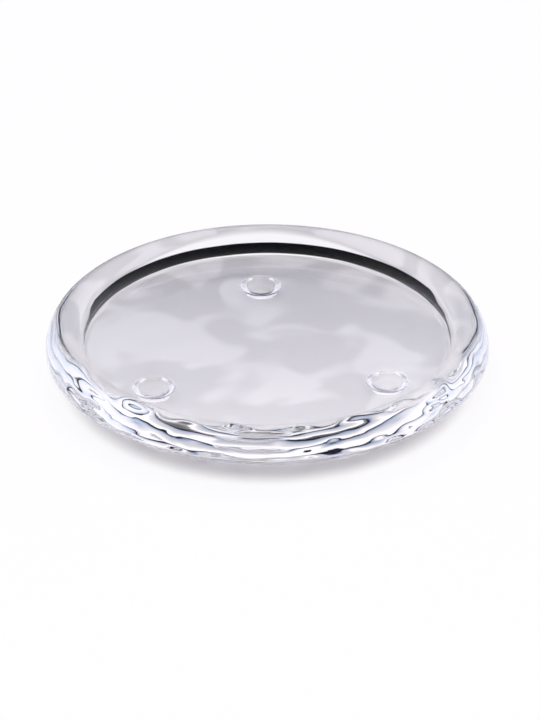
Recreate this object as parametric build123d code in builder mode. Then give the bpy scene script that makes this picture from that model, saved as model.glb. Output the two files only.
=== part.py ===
# Round candle plate of thick clear glass, standing on three clear feet.
# The plate is a shallow well with a flat floor inside a fat rounded rim.
# Origin: centre of the plate, on the surface that the feet stand on. +Z is up.
import os
from math import cos, radians, sin

from build123d import *

# Plate, its heights measured from its flat underside
plate_diameter = 160
plate_height = 17.2
widest_height = 9
floor_thickness = 9
underside_sweep_width = 24

# Rim, its widths measured inwards from the widest point, and the wall of the well
rim_outer_width = 6.5
rim_inner_width = 6.5
rim_inner_drop = 3.4
well_wall_draft = 0.8
well_fillet_radius = 2.2

# Feet
foot_names = ["foot_back", "foot_front_left", "foot_front_right"]
first_foot_angle = 90
foot_inset = 8
foot_height = 4
foot_flat_diameter = 6
foot_edge_radius = 4.2
foot_flare_radius = 0.8
foot_side_angle = 70

os.makedirs("parts", exist_ok=True)


# The plate's section runs from the underside out to the rim, over its crest and down into the well
plate_radius = plate_diameter / 2
underside_radius = plate_radius - underside_sweep_width
crest_radius = plate_radius - rim_outer_width
inner_edge_radius = crest_radius - rim_inner_width
inner_edge_height = plate_height - rim_inner_drop
wall_foot_radius = inner_edge_radius - well_wall_draft
wall_foot_height = floor_thickness + well_fillet_radius
floor_radius = wall_foot_radius - well_fillet_radius

with BuildPart() as plate:
    with BuildSketch(Plane.XZ.shift_origin((0, 0, foot_height))):
        with BuildLine():
            Line((0, 0), (underside_radius, 0))
            # underside sweeping up to the widest point
            EllipticalCenterArc(
                center=(underside_radius, widest_height),
                x_radius=underside_sweep_width,
                y_radius=widest_height,
                start_angle=270,
                arc_size=90,
            )
            # outside of the rim, up to the crest
            EllipticalCenterArc(
                center=(crest_radius, widest_height),
                x_radius=rim_outer_width,
                y_radius=plate_height - widest_height,
                start_angle=0,
                arc_size=90,
            )
            # crest over to the inner edge
            EllipticalCenterArc(
                center=(crest_radius, inner_edge_height),
                x_radius=rim_inner_width,
                y_radius=rim_inner_drop,
                start_angle=90,
                arc_size=90,
            )
            Line((inner_edge_radius, inner_edge_height), (wall_foot_radius, wall_foot_height))
            CenterArc(
                center=(floor_radius, wall_foot_height),
                radius=well_fillet_radius,
                start_angle=0,
                arc_size=-90,
            )
            Line((floor_radius, floor_thickness), (0, floor_thickness))
            Line((0, floor_thickness), (0, 0))
        make_face()
    revolve(axis=Axis.Z)
plate.part.label = "glass_plate"
export_step(plate.part, "parts/glass_plate.step")


# Each foot is a glass drop: a flat on the table, a rounded edge, a leaning side and a flared root. Its side runs
# straight between the two curves.
foot_circle_radius = underside_radius - foot_inset
foot_flat_radius = foot_flat_diameter / 2
side_slope = radians(foot_side_angle)
height_of_curves = (foot_edge_radius + foot_flare_radius) * (1 - cos(side_slope))
width_of_curves = (foot_edge_radius + foot_flare_radius) * sin(side_slope)
foot_side_length = (foot_height - height_of_curves) / sin(side_slope)
foot_root_radius = foot_flat_radius + width_of_curves + foot_side_length * cos(side_slope)
flare_centre_height = foot_height - foot_flare_radius
angle_between_feet = 360 / len(foot_names)

for foot_number, foot_name in enumerate(foot_names):
    foot_angle = first_foot_angle + foot_number * angle_between_feet
    foot_centre = Vector(foot_circle_radius, 0, 0).rotate(Axis.Z, foot_angle)
    with BuildPart() as foot:
        with BuildSketch(Plane(origin=foot_centre, x_dir=(1, 0, 0), z_dir=(0, -1, 0))):
            with BuildLine():
                Line((0, 0), (foot_flat_radius, 0))
                rounded_edge = CenterArc(
                    center=(foot_flat_radius, foot_edge_radius),
                    radius=foot_edge_radius,
                    start_angle=270,
                    arc_size=foot_side_angle,
                )
                PolarLine(start=rounded_edge @ 1, length=foot_side_length, angle=foot_side_angle)
                # root flaring out to the underside
                CenterArc(
                    center=(foot_root_radius, flare_centre_height),
                    radius=foot_flare_radius,
                    start_angle=90,
                    arc_size=foot_side_angle,
                )
                Line((foot_root_radius, foot_height), (0, foot_height))
                Line((0, foot_height), (0, 0))
            make_face()
        revolve(axis=Axis(foot_centre, (0, 0, 1)))
    foot.part.label = foot_name
    export_step(foot.part, f"parts/{foot_name}.step")
    print(foot_name, "volume", round(foot.part.volume, 2))

print("glass_plate volume", round(plate.part.volume, 1))
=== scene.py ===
import math

import bpy
import numpy as np
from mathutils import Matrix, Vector


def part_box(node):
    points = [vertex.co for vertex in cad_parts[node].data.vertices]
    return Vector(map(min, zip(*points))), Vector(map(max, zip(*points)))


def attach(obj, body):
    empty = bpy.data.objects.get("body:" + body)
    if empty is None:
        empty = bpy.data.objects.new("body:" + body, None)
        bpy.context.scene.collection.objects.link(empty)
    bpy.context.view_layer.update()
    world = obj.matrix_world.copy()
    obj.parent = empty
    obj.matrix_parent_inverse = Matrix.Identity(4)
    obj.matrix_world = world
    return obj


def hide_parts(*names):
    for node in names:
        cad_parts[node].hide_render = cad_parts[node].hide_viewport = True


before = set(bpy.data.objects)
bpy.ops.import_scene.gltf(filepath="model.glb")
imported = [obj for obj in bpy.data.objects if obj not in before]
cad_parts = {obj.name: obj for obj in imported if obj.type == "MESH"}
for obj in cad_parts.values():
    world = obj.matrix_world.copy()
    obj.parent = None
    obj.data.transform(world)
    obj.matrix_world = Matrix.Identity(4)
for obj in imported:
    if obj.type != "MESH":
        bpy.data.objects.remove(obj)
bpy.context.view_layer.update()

mm = 0.001                          # the script's sizes are in millimetres, Blender's in metres
mergeDistance = 0.002 * mm
creaseAngle = math.radians(60)      # gentler bends than this are shaded smooth
scene = bpy.context.scene
print("frame loaded:", sorted(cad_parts))


# Helpers for the glass

def deselectAll():
    if bpy.context.object and bpy.context.object.mode != "OBJECT":
        bpy.ops.object.mode_set(mode="OBJECT")
    bpy.ops.object.select_all(action="DESELECT")


def pick(piece):
    deselectAll()
    piece.select_set(True)
    bpy.context.view_layer.objects.active = piece


def placesOf(parts, kind):
    # the places of vertices ("co") or faces ("center"), in millimetres
    places = np.empty(len(parts) * 3)
    parts.foreach_get(kind, places)
    return places.reshape(-1, 3) / mm


def distanceFrom(points, centre):
    return np.hypot(points[:, 0] - centre[0], points[:, 1] - centre[1])


def selectFaces(piece, chosen):
    # selects the chosen faces and leaves the piece in edit mode
    pick(piece)
    bpy.ops.object.mode_set(mode="EDIT")
    bpy.ops.mesh.select_mode(type="FACE")
    bpy.ops.mesh.select_all(action="DESELECT")
    bpy.ops.object.mode_set(mode="OBJECT")
    piece.data.polygons.foreach_set("select", chosen)
    bpy.ops.object.mode_set(mode="EDIT")


def arcPoints(centre, radii, angles, steps):
    # points along part of an ellipse, without its first point
    points = []
    for step in range(1, steps + 1):
        turn = math.radians(angles[0] + (angles[1] - angles[0]) * step / steps)
        points.append((centre[0] + radii[0] * math.cos(turn), centre[1] + radii[1] * math.sin(turn)))
    return points


def linePoints(start, end, steps):
    # points along a straight line, without its first point
    points = []
    for step in range(1, steps + 1):
        points.append((start[0] + (end[0] - start[0]) * step / steps,
                       start[1] + (end[1] - start[1]) * step / steps))
    return points


def startPoint(name, place):
    # a new piece of one point, left selected in edit mode, to extrude a line from
    deselectAll()
    bpy.ops.mesh.primitive_plane_add(size=mm, location=(0, 0, 0))
    piece = bpy.context.object
    piece.name = piece.data.name = name
    bpy.ops.object.mode_set(mode="EDIT")
    bpy.ops.mesh.select_mode(type="VERT")
    bpy.ops.mesh.merge(type="CENTER")
    bpy.ops.transform.translate(value=[part * mm for part in place])
    return piece


def extrudeBy(x, y, z):
    bpy.ops.mesh.extrude_region_move(TRANSFORM_OT_translate={"value": (x * mm, y * mm, z * mm)})


def turnSection(name, points, segments, centre=(0, 0)):
    # draws the section as a chain of points, spins it round the upright axis, and closes seam and poles
    piece = startPoint(name, (points[0][0], 0, points[0][1]))
    for before, after in zip(points, points[1:]):
        extrudeBy(after[0] - before[0], 0, after[1] - before[1])
    bpy.ops.mesh.select_all(action="SELECT")
    bpy.ops.mesh.spin(steps=segments, angle=math.tau, center=(0, 0, 0), axis=(0, 0, 1))
    bpy.ops.mesh.select_all(action="SELECT")
    bpy.ops.mesh.remove_doubles(threshold=mergeDistance)
    bpy.ops.mesh.normals_make_consistent(inside=False)
    bpy.ops.transform.translate(value=(centre[0] * mm, centre[1] * mm, 0))
    bpy.ops.object.mode_set(mode="OBJECT")
    return piece


# Helpers for materials

def hexColour(code, alpha=1.0):
    parts = [int(code[i:i + 2], 16) / 255 for i in (1, 3, 5)]
    return tuple(c / 12.92 if c <= 0.04045 else ((c + 0.055) / 1.055) ** 2.4 for c in parts) + (alpha,)


def addNode(tree, kind, settings=None, links=None):
    # settings go to the node's properties or sockets, links join its sockets to other nodes' outputs
    node = tree.nodes.new(kind)
    for key, value in (settings or {}).items():
        if isinstance(key, str) and hasattr(node, key):
            setattr(node, key, value)
        else:
            node.inputs[key].default_value = value
    for key, (source, output) in (links or {}).items():
        tree.links.new(source.outputs[output], node.inputs[key])
    return node


def newMaterial(name):
    material = bpy.data.materials.new(name)
    material.use_nodes = True
    material.node_tree.nodes.clear()
    return material, material.node_tree


# Glass

# Pressed crystal glass, fire polished: clear and mirror smooth, with a trace of grey, and a surface that is
# never quite even, because the mould chilled it
crystal = {
    "colour": "#F8F7FA", "ior": 1.52,
    "mirrorTint": "#707074",            # its face-on reflections are faint
    "chillSpacing": 14, "chillDetail": 1.0, "chillRoughness": 0.4, "chillStrength": 0.10, "chillDepth": 1.0,
}
crystalGlass, tree = newMaterial("firePolishedCrystal")
place = addNode(tree, "ShaderNodeTexCoord")
chill = addNode(tree, "ShaderNodeTexNoise",
                {"Scale": 1 / (crystal["chillSpacing"] * mm), "Detail": crystal["chillDetail"],
                 "Roughness": crystal["chillRoughness"]},
                {"Vector": (place, "Object")})
bump = addNode(tree, "ShaderNodeBump",
               {"Strength": crystal["chillStrength"], "Distance": crystal["chillDepth"] * mm},
               {"Height": (chill, "Fac")})
shader = addNode(tree, "ShaderNodeBsdfPrincipled",
                 {"Base Color": hexColour(crystal["colour"]), "Roughness": 0.0, "IOR": crystal["ior"],
                  "Transmission Weight": 1.0, "Specular Tint": hexColour(crystal["mirrorTint"])},
                 {"Normal": (bump, "Normal")})
addNode(tree, "ShaderNodeOutputMaterial", None, {"Surface": (shader, "BSDF")})

# Where a foot is fused on there is no surface left between the two pieces of glass, so light goes straight on
fusedJoint, tree = newMaterial("fusedGlassJoint")
shader = addNode(tree, "ShaderNodeBsdfPrincipled",
                 {"Base Color": hexColour("#FFFFFF"), "Roughness": 0.0, "IOR": 1.0, "Alpha": 0.0})
addNode(tree, "ShaderNodeOutputMaterial", None, {"Surface": (shader, "BSDF")})
print("glass mixed")


# Plate, and the sizes of the feet, whose roots need a place on its underside

plateLow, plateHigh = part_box("glass_plate")
plate = {
    "radius": plateHigh.x / mm,
    "underside": plateLow.z / mm,
    "crest": plateHigh.z / mm,
    "widest": plateLow.z / mm + 9,
    "floor": plateLow.z / mm + 9,
    "sweepWidth": 24,
    "rimOuterWidth": 6.5,
    "rimInnerWidth": 6.5,
    "rimInnerDrop": 3.4,
    "wallDraft": 0.8,
    "filletRadius": 2.2,
    "segments": 384,
    "flatLimit": 0.01,          # faces that rise no more than this above the underside count as flat
    "undersideSteps": 40, "sweepSteps": 26, "outerSteps": 18, "innerSteps": 14,
    "wallSteps": 6, "filletSteps": 14, "floorSteps": 42,
}
foot = {
    "names": ["foot_back", "foot_front_left", "foot_front_right"],
    "flatRadius": 2.4,
    "bellyRadius": 10.0,
    "bellyAngle": 14,
    "edgeRadius": 2.6,
    "flareRadius": 0.8,
    "sideAngle": 70,
    "height": plateLow.z / mm,
    "patchRadius": 11.0,        # faces of the underside make room for the root out to here
    "ringWidths": (1.2, 0.5),   # rings of faces round the root, measured out from it
    "segments": 96,
    "flatLimit": 0.001,         # faces that lie no more than this under the root's top are its joint
    "flatSteps": 4, "bellySteps": 10, "edgeSteps": 14, "sideSteps": 3, "flareSteps": 12, "rootSteps": 3,
}
for name in foot["names"]:
    low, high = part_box(name)
    foot[name] = ((low.x + high.x) / 2 / mm, (low.y + high.y) / 2 / mm)

# The side of a foot is as long as its curves leave room for, and that gives the radius of its root
slope = math.radians(foot["sideAngle"])
belly = math.radians(foot["bellyAngle"])
bends = foot["edgeRadius"] + foot["flareRadius"]
bellyExtra = foot["bellyRadius"] - foot["edgeRadius"]
sideHeight = foot["height"] - bends * (1 - math.cos(slope)) - bellyExtra * (1 - math.cos(belly))
foot["sideLength"] = sideHeight / math.sin(slope)
foot["rootRadius"] = (foot["flatRadius"] + bellyExtra * math.sin(belly) + bends * math.sin(slope)
                      + foot["sideLength"] * math.cos(slope))
print("foot root radius:", round(foot["rootRadius"], 2))


def plateSection():
    # underside, sweep, outside of the rim, crest, wall, fillet, floor
    underRadius = plate["radius"] - plate["sweepWidth"]
    crestRadius = plate["radius"] - plate["rimOuterWidth"]
    innerRadius = crestRadius - plate["rimInnerWidth"]
    innerTop = plate["crest"] - plate["rimInnerDrop"]
    wallFoot = innerRadius - plate["wallDraft"]
    floorRadius = wallFoot - plate["filletRadius"]
    filletTop = plate["floor"] + plate["filletRadius"]
    sweepRadii = (plate["sweepWidth"], plate["widest"] - plate["underside"])
    outerRadii = (plate["rimOuterWidth"], plate["crest"] - plate["widest"])
    innerRadii = (plate["rimInnerWidth"], plate["rimInnerDrop"])
    filletRadii = (plate["filletRadius"], plate["filletRadius"])
    points = [(0, plate["underside"])]
    points += linePoints(points[-1], (underRadius, plate["underside"]), plate["undersideSteps"])
    points += arcPoints((underRadius, plate["widest"]), sweepRadii, (270, 360), plate["sweepSteps"])
    points += arcPoints((crestRadius, plate["widest"]), outerRadii, (0, 90), plate["outerSteps"])
    points += arcPoints((crestRadius, innerTop), innerRadii, (90, 180), plate["innerSteps"])
    points += linePoints(points[-1], (wallFoot, filletTop), plate["wallSteps"])
    points += arcPoints((floorRadius, filletTop), filletRadii, (0, -90), plate["filletSteps"])
    points += linePoints(points[-1], (0, plate["floor"]), plate["floorSteps"])
    return points


def fuseFootPlace(footCentre):
    # clears a round place on the underside and closes it with rings of faces and one face that the foot joins
    faces = placesOf(plateGlass.data.polygons, "center")
    onUnderside = faces[:, 2] < plate["underside"] + plate["flatLimit"]
    selectFaces(plateGlass, onUnderside & (distanceFrom(faces, footCentre) < foot["patchRadius"]))
    bpy.ops.mesh.delete(type="FACE")
    centre = (footCentre[0] * mm, footCentre[1] * mm, plate["underside"] * mm)
    rings = [foot["rootRadius"] + width for width in foot["ringWidths"]] + [foot["rootRadius"]]
    bpy.ops.mesh.select_mode(type="EDGE")
    bpy.ops.mesh.select_all(action="DESELECT")
    bpy.ops.mesh.primitive_circle_add(vertices=foot["segments"], radius=rings[0] * mm,
                                      fill_type="NOTHING", location=centre)
    for before, after in zip(rings, rings[1:]):
        bpy.ops.mesh.extrude_edges_move()
        bpy.ops.transform.resize(value=(after / before, after / before, 1), center_override=centre)
    bpy.ops.mesh.edge_face_add()
    bpy.ops.object.mode_set(mode="OBJECT")
    joined = np.empty(len(plateGlass.data.polygons), bool)
    plateGlass.data.polygons.foreach_get("select", joined)
    for index in np.flatnonzero(joined):
        plateGlass.data.polygons[index].material_index = 1
    # the gap between the outer ring and the faces round it is filled
    bpy.ops.object.mode_set(mode="EDIT")
    bpy.ops.mesh.select_all(action="DESELECT")
    bpy.ops.mesh.select_non_manifold(extend=False, use_wire=False, use_boundary=True, use_multi_face=False,
                                     use_non_contiguous=False, use_verts=False)
    bpy.ops.mesh.fill(use_beauty=True)
    bpy.ops.mesh.select_all(action="SELECT")
    bpy.ops.mesh.normals_make_consistent(inside=False)
    bpy.ops.object.mode_set(mode="OBJECT")


plateGlass = turnSection("plateGlass", plateSection(), plate["segments"])
for name in foot["names"]:
    fuseFootPlace(foot[name])
plateGlass.data.materials.append(crystalGlass)
plateGlass.data.materials.append(fusedJoint)
print("plate turned")


# Dents in the sweep and the rim's belly, small ripples on its outside, slow waves in floor and underside

ripples = {
    # the level is the share of the noise that goes into the glass
    "dents": {"spacing": 11.0, "depth": 1.5, "level": 0.8, "direction": "NORMAL"},
    "sideRipples": {"spacing": 7.0, "depth": 0.65, "level": 0.9, "direction": "NORMAL"},
    "waves": {"spacing": 30.0, "depth": 0.22, "level": 0.5, "direction": "Z"},
    "flatnessShare": 0.4,                       # height of a dent or ripple, as a share of its width
    # each pair of radii or heights is where the work starts and is full, or is full and ends
    "dentRadii": (60.5, 68),
    "dentTops": (plate["widest"] - 4, plate["widest"] - 0.5),
    "sideBottoms": (plate["widest"] - 1, plate["widest"] + 1.5),
    "sideTops": (plate["crest"] - 3.5, plate["crest"] - 0.8),
    "floorRadii": (56, 63.5),
    "undersideRadii": (56, 63),
    "rootClearances": (0.6, 6),
    "backEdges": (-35, -10),
    "backLossShare": 0.88,                      # share of the dents and ripples that the back lacks
    # limits that tell the outside, the rim, the floor and the underside apart
    "outsideRadius": 68, "sweepTop": plate["underside"] + 3.5,
    "rimRadius": 74,
    "floorRadius": 63.9, "floorHeights": (plate["floor"] - 0.05, plate["floor"] + 2.0),
    "undersideTop": plate["underside"] + 1.0,
    "weightSteps": 64,
}


def weightGroup(piece, name, weights):
    # weights are rounded to even steps, so that a few calls set them all
    group = piece.vertex_groups.new(name=name)
    steps = np.rint(np.clip(weights, 0, 1) * ripples["weightSteps"]).astype(int)
    for step in range(1, ripples["weightSteps"] + 1):
        members = np.flatnonzero(steps == step)
        if len(members):
            group.add(members.tolist(), step / ripples["weightSteps"], "REPLACE")


def smoothRise(value, edges):
    share = np.clip((value - edges[0]) / (edges[1] - edges[0]), 0, 1)
    return share * share * (3 - 2 * share)


points = placesOf(plateGlass.data.vertices, "co")
radius = distanceFrom(points, (0, 0))
height = points[:, 2]
keptShare = 1 - ripples["backLossShare"] * smoothRise(points[:, 1], ripples["backEdges"])

outside = (radius > ripples["outsideRadius"]) | (height < ripples["sweepTop"])
dentWeight = outside * smoothRise(radius, ripples["dentRadii"])
dentWeight *= 1 - smoothRise(height, ripples["dentTops"])
dentWeight *= keptShare
weightGroup(plateGlass, "dents", dentWeight)

sideWeight = (radius > ripples["rimRadius"]) * smoothRise(height, ripples["sideBottoms"]) * keptShare
sideWeight *= 1 - smoothRise(height, ripples["sideTops"])
weightGroup(plateGlass, "sideRipples", sideWeight)

floorHeights = ripples["floorHeights"]
onFloor = (height > floorHeights[0]) & (height < floorHeights[1]) & (radius < ripples["floorRadius"])
waveWeight = onFloor * (1 - smoothRise(radius, ripples["floorRadii"]))
nearestFoot = np.min([distanceFrom(points, foot[name]) for name in foot["names"]], axis=0)
rootEdges = [foot["rootRadius"] + clearance for clearance in ripples["rootClearances"]]
clearOfFeet = smoothRise(nearestFoot, rootEdges)
onUnderside = (height < ripples["undersideTop"]) * clearOfFeet
waveWeight += onUnderside * (1 - smoothRise(radius, ripples["undersideRadii"]))
weightGroup(plateGlass, "waves", waveWeight)

deselectAll()
bpy.ops.object.empty_add(location=(0, 0, 0))
flattener = bpy.context.object
flattener.scale = (1, 1, ripples["flatnessShare"])
bpy.context.view_layer.update()
pick(plateGlass)
for name in ("dents", "sideRipples", "waves"):
    texture = bpy.data.textures.new(name, "CLOUDS")
    texture.noise_scale = ripples[name]["spacing"] * mm
    texture.noise_depth = 0
    texture.noise_basis = "BLENDER_ORIGINAL"
    press = plateGlass.modifiers.new(name, "DISPLACE")
    press.texture = texture
    press.texture_coords = "LOCAL"
    if ripples[name]["direction"] == "NORMAL":
        press.texture_coords = "OBJECT"
        press.texture_coords_object = flattener
    press.vertex_group = name
    press.direction = ripples[name]["direction"]
    press.mid_level = ripples[name]["level"]
    press.strength = ripples[name]["depth"] * mm
    bpy.ops.object.modifier_apply(modifier=name)

pick(flattener)
bpy.ops.object.delete()
pick(plateGlass)
bpy.ops.object.shade_smooth_by_angle(angle=creaseAngle)
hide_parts("glass_plate")
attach(plateGlass, "root")
print("plate made:", len(plateGlass.data.polygons), "faces")


# Feet

def footSection():
    # flat end, belly, rounded edge, leaning side, then a flare that meets the underside without a crease
    bellyRadii = (foot["bellyRadius"], foot["bellyRadius"])
    edgeRadii = (foot["edgeRadius"], foot["edgeRadius"])
    flareRadii = (foot["flareRadius"], foot["flareRadius"])
    bellyEnd = 270 + foot["bellyAngle"]
    edgeEnd = 270 + foot["sideAngle"]
    flareStart = 90 + foot["sideAngle"]
    bellyCentre = (foot["flatRadius"], foot["bellyRadius"])
    edgeCentre = (foot["flatRadius"] + bellyExtra * math.sin(belly),
                  foot["bellyRadius"] - bellyExtra * math.cos(belly))
    flareCentre = (foot["rootRadius"], foot["height"] - foot["flareRadius"])
    points = [(0, 0.0)]
    points += linePoints(points[-1], (foot["flatRadius"], 0.0), foot["flatSteps"])
    points += arcPoints(bellyCentre, bellyRadii, (270, bellyEnd), foot["bellySteps"])
    points += arcPoints(edgeCentre, edgeRadii, (bellyEnd, edgeEnd), foot["edgeSteps"])
    sideTop = (points[-1][0] + foot["sideLength"] * math.cos(slope),
               points[-1][1] + foot["sideLength"] * math.sin(slope))
    points += linePoints(points[-1], sideTop, foot["sideSteps"])
    points += arcPoints(flareCentre, flareRadii, (flareStart, 90), foot["flareSteps"])
    points += linePoints(points[-1], (0, foot["height"]), foot["rootSteps"])
    return points


for name in foot["names"]:
    pieceName = "glass" + "".join(word.capitalize() for word in name.split("_"))
    footGlass = turnSection(pieceName, footSection(), foot["segments"], foot[name])
    footGlass.data.materials.append(crystalGlass)
    footGlass.data.materials.append(fusedJoint)
    for face in footGlass.data.polygons:
        if face.center.z > (foot["height"] - foot["flatLimit"]) * mm:
            face.material_index = 1
    pick(footGlass)
    bpy.ops.object.shade_smooth_by_angle(angle=creaseAngle)
    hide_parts(name)
    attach(footGlass, "root")
print("feet made")


# Table

table = {
    "size": 6000,
    "drop": 0.02,                   # the top lies this far under the feet, so that no two faces share a place
    "colour": "#F6F4F7", "roughness": 0.35, "mirror": 0.3, "glowColour": "#FFFEFF",
    "paintedShadowRadii": (61, 77),         # painted shadow: the camera sees a darker ring round the plate that fades out between these radii
    "cameraGlowAndPaintedShade": (0.25, 0.88),     # share of glow in what the camera sees, in the painted shadow, where the glow is black, and clear of it, where it is white
    "paintedLightBehindEdges": (80, 92),         # painted light: behind these the table glows an even white through the glass
    "glassGlow": (0.5, 0.9),        # share of glow, which is painted light, in what shows through the glass, before and behind them
    # painted light and shade: soft patches of glow that show only through the glass
    "patchSpacing": 26, "patchDetail": 1.0, "patchRoughness": 0.4, "patchWarp": 0.8,
    "patchEdges": (0.43, 0.58), "patchTones": (0.72, 0.99),
    "frontLift": -5.0,              # painted light: glow tone that is added for each metre towards the back, so the table shows brighter towards the front through the glass
}

# Pale board, matt, with painted light and shadow: white to the camera except for a painted shadow round the
# plate, and where it shows through the glass it glows with painted light, in soft patches under the plate,
# brighter towards the front, and an even white behind the plate
paleTable, tree = newMaterial("paleBoardWithPaintedLightAndShadow")
paint = addNode(tree, "ShaderNodeBsdfPrincipled",
                {"Base Color": hexColour(table["colour"]), "Roughness": table["roughness"],
                 "Specular IOR Level": table["mirror"]})
light = addNode(tree, "ShaderNodeLightPath")
place = addNode(tree, "ShaderNodeTexCoord")
reach = addNode(tree, "ShaderNodeVectorMath", {"operation": "LENGTH"}, {0: (place, "Object")})
# painted shadow round the plate: this mask is 0 near the plate and 1 clear of it, and sets how much black or
# white glow the camera sees on the table
clear = addNode(tree, "ShaderNodeMapRange",
                {"interpolation_type": "SMOOTHSTEP", "From Min": table["paintedShadowRadii"][0] * mm,
                 "From Max": table["paintedShadowRadii"][1] * mm, "To Min": 0.0, "To Max": 1.0},
                {"Value": (reach, "Value")})
seenShare = addNode(tree, "ShaderNodeMapRange",
                    {"To Min": table["cameraGlowAndPaintedShade"][0], "To Max": table["cameraGlowAndPaintedShade"][1]},
                    {"Value": (clear, "Result")})
seen = addNode(tree, "ShaderNodeMath", {"operation": "MULTIPLY"},
               {0: (light, "Is Camera Ray"), 1: (seenShare, "Result")})
seenTone = addNode(tree, "ShaderNodeMath", {"operation": "MULTIPLY"},
                   {0: (light, "Is Camera Ray"), 1: (clear, "Result")})
spread = addNode(tree, "ShaderNodeSeparateXYZ", None, {0: (place, "Object")})
# painted light and shadow: through the glass the table glows an even white behind the plate's shadow edge and
# dimmer in front of it
paintedLightBehind = addNode(tree, "ShaderNodeMapRange",
                {"interpolation_type": "SMOOTHSTEP", "From Min": table["paintedLightBehindEdges"][0] * mm,
                 "From Max": table["paintedLightBehindEdges"][1] * mm, "To Min": 0.0, "To Max": 1.0},
                {"Value": (spread, "Y")})
# painted light and shade: soft patches of glow that show only through the glass
paintedLightPatches = addNode(tree, "ShaderNodeTexNoise",
                  {"Scale": 1 / (table["patchSpacing"] * mm), "Detail": table["patchDetail"],
                   "Roughness": table["patchRoughness"], "Distortion": table["patchWarp"]},
                  {"Vector": (place, "Object")})
paintedLightMottle = addNode(tree, "ShaderNodeMapRange",
                 {"interpolation_type": "SMOOTHSTEP", "From Min": table["patchEdges"][0],
                  "From Max": table["patchEdges"][1], "To Min": table["patchTones"][0],
                  "To Max": table["patchTones"][1]},
                 {"Value": (paintedLightPatches, "Fac")})
# painted light: the glow grows brighter towards the front
lifted = addNode(tree, "ShaderNodeMath", {"operation": "MULTIPLY_ADD", 1: table["frontLift"]},
                 {0: (spread, "Y"), 2: (paintedLightMottle, "Result")})
glassTone = addNode(tree, "ShaderNodeMath", {"operation": "MAXIMUM"},
                    {0: (paintedLightBehind, "Result"), 1: (lifted, "Value")})
tone = addNode(tree, "ShaderNodeMath", {"operation": "MULTIPLY_ADD"},
               {0: (glassTone, "Value"), 1: (light, "Is Transmission Ray"), 2: (seenTone, "Value")})
glow = addNode(tree, "ShaderNodeEmission", {"Color": hexColour(table["glowColour"])},
               {"Strength": (tone, "Value")})
glassShare = addNode(tree, "ShaderNodeMapRange",
                     {"To Min": table["glassGlow"][0], "To Max": table["glassGlow"][1]},
                     {"Value": (paintedLightBehind, "Result")})
share = addNode(tree, "ShaderNodeMath", {"operation": "MULTIPLY_ADD"},
                {0: (light, "Is Transmission Ray"), 1: (glassShare, "Result"), 2: (seen, "Value")})
mix = addNode(tree, "ShaderNodeMixShader", None,
              {0: (share, "Value"), 1: (paint, "BSDF"), 2: (glow, "Emission")})
addNode(tree, "ShaderNodeOutputMaterial", None, {"Surface": (mix, "Shader")})

deselectAll()
bpy.ops.mesh.primitive_plane_add(size=table["size"] * mm, location=(0, 0, -table["drop"] * mm))
tableTop = bpy.context.object
tableTop.name = "table"
tableTop.data.materials.append(paleTable)
print("table made")


# Dark card behind the plate, which only the glass sees: it draws the dark line along the back wall

card = {
    "near": 103, "far": 900, "lift": 0.5, "height": 160, "halfAngle": 50, "steps": 48,
    "colour": "#020202", "roughness": 1.0,
}

# Black flocked card: soft pile that gives back almost no light
flockedCard, tree = newMaterial("blackFlockedCard")
shader = addNode(tree, "ShaderNodeBsdfPrincipled",
                 {"Base Color": hexColour(card["colour"]), "Roughness": card["roughness"],
                  "Specular IOR Level": 0.0})
addNode(tree, "ShaderNodeOutputMaterial", None, {"Surface": (shader, "BSDF")})

# a flat sector of a ring, with an upright edge at its far side
halfAngle = math.radians(card["halfAngle"])
side = Vector((-math.sin(halfAngle), math.cos(halfAngle), 0))
darkCard = startPoint("darkCard", side * card["near"] + Vector((0, 0, card["lift"])))
extrudeBy(*(side * (card["far"] - card["near"])))
extrudeBy(0, 0, card["height"])
bpy.ops.mesh.select_all(action="SELECT")
bpy.ops.mesh.spin(steps=card["steps"], angle=2 * halfAngle, center=(0, 0, 0), axis=(0, 0, 1))
bpy.ops.object.mode_set(mode="OBJECT")
darkCard.data.materials.append(flockedCard)
darkCard.visible_camera = False
darkCard.visible_diffuse = False
darkCard.visible_shadow = False
print("card made")


# Soft studio light

studio = {
    # light on the table: a wide soft box up behind the plate, and a little from all round
    "boxAxis": (0.0, 0.342, 0.940), "boxEdges": (0.78, 0.98), "boxPower": (0.12, 5.5),
    # what the glass shows: a plain room, brighter at the sides and overhead and a little darker in front
    "roomPower": 0.78, "brightPower": 0.45, "sideEdges": (0.25, 0.6), "topEdges": (0.65, 0.85),
    "frontEdges": (-0.8, 0.1), "frontShare": 0.85,
    # its colours from low to high, with the low ones drawn up straight behind the plate
    "horizon": 0.30, "backFrom": 0.75, "backShift": 4.5,
    "colours": ((0.0, "#1A1D29"), (0.03, "#3A4359"), (0.08, "#7485AC"), (0.16, "#A0B0D1"), (0.34, "#BFCBE2"),
                (0.60, "#D9E0EE"), (1.0, "#FBF8FB")),
}

world = bpy.data.worlds.new("softStudio")
scene.world = world
world.use_nodes = True
tree = world.node_tree
tree.nodes.clear()
light = addNode(tree, "ShaderNodeLightPath")
place = addNode(tree, "ShaderNodeTexCoord")
parts = addNode(tree, "ShaderNodeSeparateXYZ", None, {0: (place, "Generated")})

# height in the room, lowered straight behind the plate
behind = addNode(tree, "ShaderNodeMath", {"operation": "MAXIMUM", 1: studio["backFrom"]}, {0: (parts, "Y")})
base = studio["horizon"] + studio["backShift"] * studio["backFrom"]
raised = addNode(tree, "ShaderNodeMath", {"operation": "ADD", 1: base}, {0: (parts, "Z")})
level = addNode(tree, "ShaderNodeMath", {"operation": "MULTIPLY_ADD", 1: -studio["backShift"]},
                {0: (behind, "Value"), 2: (raised, "Value")})
colour = addNode(tree, "ShaderNodeValToRGB", None, {"Fac": (level, "Value")})
for index, (position, code) in enumerate(studio["colours"]):
    stops = colour.color_ramp.elements
    stop = stops[index] if index < 2 else stops.new(position)
    stop.position = position
    stop.color = hexColour(code)

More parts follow.
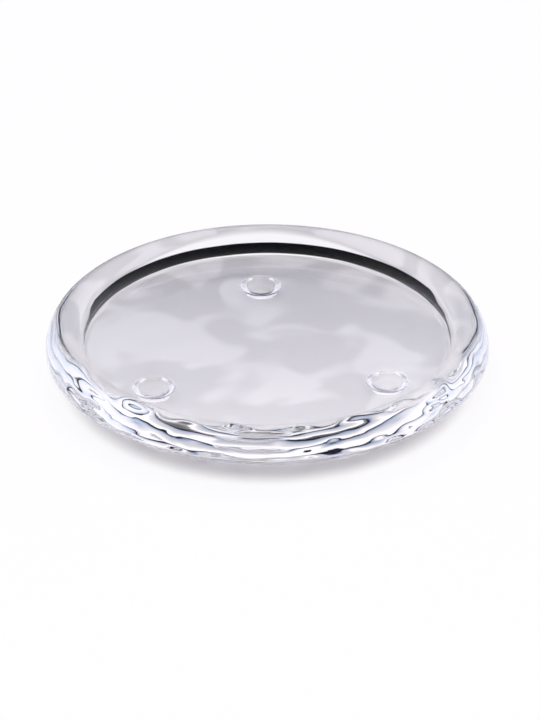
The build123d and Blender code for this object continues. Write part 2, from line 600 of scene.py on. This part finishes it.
# how bright the glass sees the room
across = addNode(tree, "ShaderNodeMath", {"operation": "ABSOLUTE"}, {0: (parts, "X")})
sides = addNode(tree, "ShaderNodeMapRange",
                {"interpolation_type": "SMOOTHSTEP", "From Min": studio["sideEdges"][0],
                 "From Max": studio["sideEdges"][1], "To Min": 0.0, "To Max": 1.0},
                {"Value": (across, "Value")})
top = addNode(tree, "ShaderNodeMapRange",
              {"interpolation_type": "SMOOTHSTEP", "From Min": studio["topEdges"][0],
               "From Max": studio["topEdges"][1], "To Min": 0.0, "To Max": 1.0},
              {"Value": (parts, "Z")})
bright = addNode(tree, "ShaderNodeMath", {"operation": "MAXIMUM"}, {0: (sides, "Result"), 1: (top, "Result")})
roomPower = addNode(tree, "ShaderNodeMath",
                    {"operation": "MULTIPLY_ADD", 1: studio["brightPower"], 2: studio["roomPower"]},
                    {0: (bright, "Value")})
front = addNode(tree, "ShaderNodeMapRange",
                {"interpolation_type": "SMOOTHSTEP", "From Min": studio["frontEdges"][0],
                 "From Max": studio["frontEdges"][1], "To Min": studio["frontShare"], "To Max": 1.0},
                {"Value": (parts, "Y")})
seenPower = addNode(tree, "ShaderNodeMath", {"operation": "MULTIPLY"},
                    {0: (roomPower, "Value"), 1: (front, "Result")})

# how bright it lights the table, whose rays have met a matt surface
facing = addNode(tree, "ShaderNodeVectorMath", {"operation": "DOT_PRODUCT", 1: studio["boxAxis"]},
                 {0: (place, "Generated")})
boxPower = addNode(tree, "ShaderNodeMapRange",
                   {"interpolation_type": "SMOOTHSTEP", "From Min": studio["boxEdges"][0],
                    "From Max": studio["boxEdges"][1], "To Min": studio["boxPower"][0],
                    "To Max": studio["boxPower"][1]},
                   {"Value": (facing, "Value")})
met = addNode(tree, "ShaderNodeMath", {"operation": "GREATER_THAN", 1: 0.5}, {0: (light, "Diffuse Depth")})
power = addNode(tree, "ShaderNodeMix", None,
                {"Factor": (met, "Value"), "A": (seenPower, "Value"), "B": (boxPower, "Result")})
soft = addNode(tree, "ShaderNodeBackground", None,
               {"Color": (colour, "Color"), "Strength": (power, "Result")})
white = addNode(tree, "ShaderNodeBackground", {"Color": hexColour("#FFFFFF"), "Strength": 1.0})
mix = addNode(tree, "ShaderNodeMixShader", None,
              {0: (light, "Is Camera Ray"), 1: (soft, "Background"), 2: (white, "Background")})
addNode(tree, "ShaderNodeOutputWorld", None, {"Surface": (mix, "Shader")})
print("light set")


# Camera, at the photo's angle

camera = {
    "distance": 1000, "elevation": 30.1, "turn": -2.9, "aimHeight": 10,
    "focalPixels": 2765, "aimPixel": (266.97, 338.4), "framePixels": (540, 720),
    "sensor": 36, "clipStart": 10,
    "bounces": 64, "throughBounces": 24,
}
deselectAll()
bpy.ops.object.camera_add()
cam = bpy.context.object
cam.name = "camera"
aimPoint = Vector((0, 0, (foot["height"] + camera["aimHeight"]) * mm))
around = math.radians(camera["turn"] - 90)
up = math.radians(camera["elevation"])
direction = Vector((math.cos(around) * math.cos(up), math.sin(around) * math.cos(up), math.sin(up)))
cam.location = aimPoint + camera["distance"] * mm * direction
slides = [math.atan((camera["aimPixel"][axis] - camera["framePixels"][axis] / 2) / camera["focalPixels"])
          for axis in (0, 1)]
cam.rotation_euler = (math.pi / 2 - up + slides[1], 0, around + math.pi / 2 + slides[0])
cam.data.sensor_width = camera["sensor"]
cam.data.lens = camera["focalPixels"] / camera["framePixels"][1] * camera["sensor"]
cam.data.clip_start = camera["clipStart"] * mm
scene.camera = cam
scene.view_settings.view_transform = "Standard"

# light bounces often in thick glass, and a lost ray would be black
scene.cycles.max_bounces = camera["bounces"]
scene.cycles.transmission_bounces = camera["bounces"]
scene.cycles.glossy_bounces = camera["bounces"]
scene.cycles.transparent_max_bounces = camera["throughBounces"]
print("camera set")
